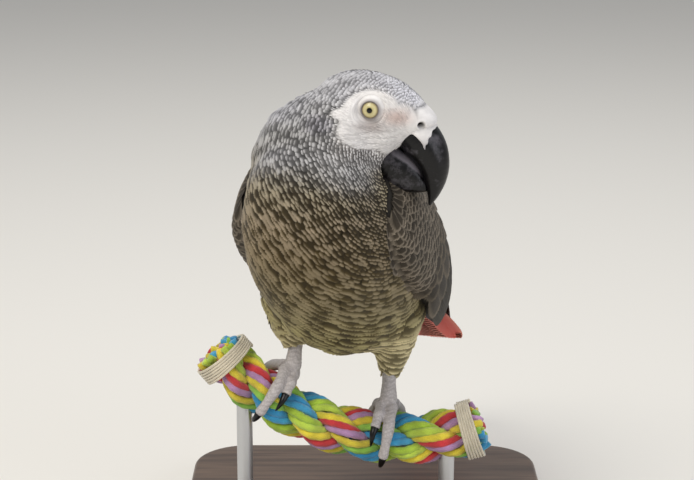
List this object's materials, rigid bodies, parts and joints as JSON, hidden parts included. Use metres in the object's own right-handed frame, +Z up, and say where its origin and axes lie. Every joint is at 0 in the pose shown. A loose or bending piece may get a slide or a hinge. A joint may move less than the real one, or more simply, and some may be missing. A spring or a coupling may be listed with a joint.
{
  "type": "grey parrot",
  "caption": "Still grey parrot leaning forward with its head turned aside, gripping a short bowed length of twisted rope that two rods hold above a flat display base.",
  "frame": {"origin": "middle of the whole model's box in plan, at the height of the base's flat underside", "axes": "+Z up, -Y the way the bird's breast faces, +X the way its head is turned (the bird's left)"},
  "size_m": [0.168, 0.242, 0.2289],
  "materials": {
    "face_skin_and_feathers": "bare white skin and small pale-edged grey feathers",
    "grey_feathers": "soft grey feathers with paler edges",
    "wing_feathers": "dark grey closed vanes, slightly silky",
    "tail_feathers": "red closed vanes",
    "eye": "wet clear cornea over a pale yellow iris",
    "horn": "black keratin, semi-gloss with a powdery bloom",
    "scaly_skin": "grey scaly skin",
    "perch_rope": "laid cotton rope, yarns in mixed bright colours",
    "whipping_twine": "undyed cotton twine",
    "stand_wood": "dark stained wood, satin lacquer",
    "stand_steel": "brushed steel rod"
  },
  "bodies": {
    "root": {"head": "face_skin_and_feathers", "neck": "grey_feathers", "trunk": "grey_feathers", "wing_right": "wing_feathers", "flight_right": "wing_feathers", "eye_right": "eye", "thigh_right": "grey_feathers", "foot_right": "scaly_skin", "claw_right_outer_front": "horn", "claw_right_inner_front": "horn", "claw_right_outer_hind": "horn", "claw_right_inner_hind": "horn", "wing_left": "wing_feathers", "flight_left": "wing_feathers", "eye_left": "eye", "thigh_left": "grey_feathers", "foot_left": "scaly_skin", "claw_left_outer_front": "horn", "claw_left_inner_front": "horn", "claw_left_outer_hind": "horn", "claw_left_inner_hind": "horn", "tail": "tail_feathers", "bill_upper": "horn", "bill_lower": "horn", "perch_strand_1": "perch_rope", "perch_strand_2": "perch_rope", "perch_strand_3": "perch_rope", "perch_whipping_left": "whipping_twine", "perch_whipping_right": "whipping_twine", "stand_base": "stand_wood", "stand_rod_left": "stand_steel", "stand_rod_right": "stand_steel"}
  },
  "joints": []
}
